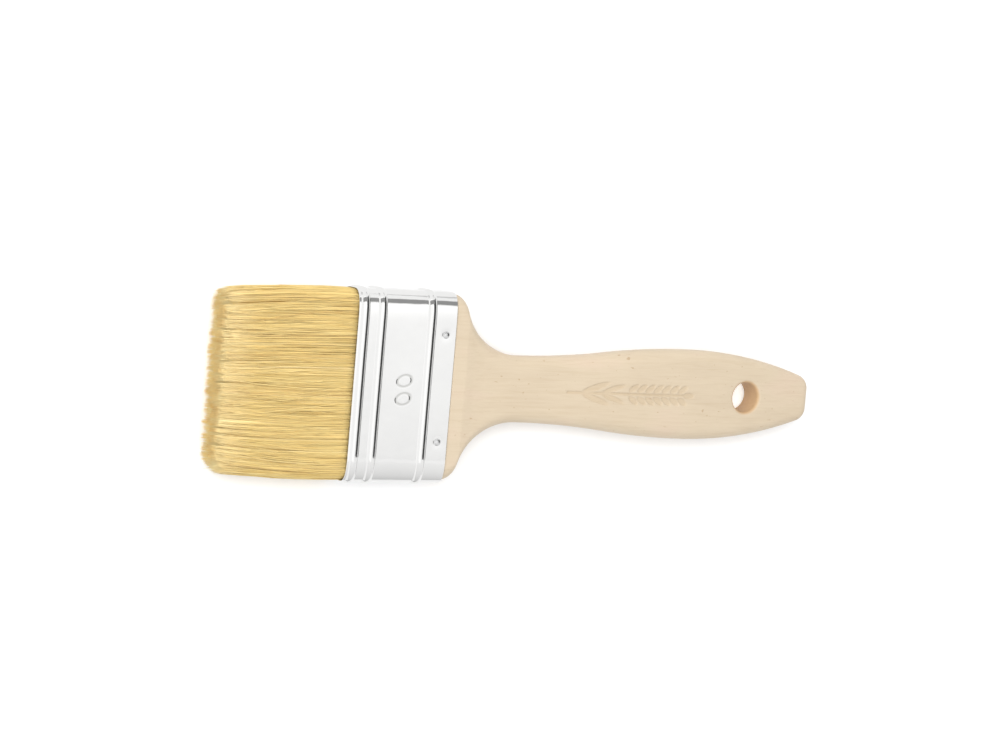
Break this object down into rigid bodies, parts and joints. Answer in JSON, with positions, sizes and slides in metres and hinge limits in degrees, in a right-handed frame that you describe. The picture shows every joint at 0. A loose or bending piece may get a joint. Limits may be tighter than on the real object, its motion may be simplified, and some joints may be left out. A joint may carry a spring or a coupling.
{
  "type": "pastry brush",
  "caption": "Flat natural-bristle brush with a beaded tinplate ferrule and a waisted beech handle with a hang hole.",
  "frame": {"origin": "under the middle of the brush's length and width, on the surface that it lies on (back face down)", "axes": "+X along the length towards the handle's end, +Y across the width, +Z out of the front face"},
  "size_m": [0.215, 0.061, 0.0141],
  "materials": {
    "beech": "raw sanded beech, matte",
    "tinplate": "bright tin-plated sheet steel, glossy",
    "nail_steel": "bright steel",
    "setting_resin": "hardened amber resin",
    "spacer_wood": "raw sawn wood",
    "bristle": "blond natural hog bristle, satin"
  },
  "bodies": {
    "root": {"handle": "beech", "ferrule": "tinplate", "front_nail_right": "nail_steel", "front_nail_left": "nail_steel", "back_nail_right": "nail_steel", "back_nail_left": "nail_steel", "resin_block": "setting_resin", "front_spacer": "spacer_wood", "back_spacer": "spacer_wood", "front_bristles": "bristle", "middle_bristles": "bristle", "back_bristles": "bristle"}
  },
  "joints": []
}
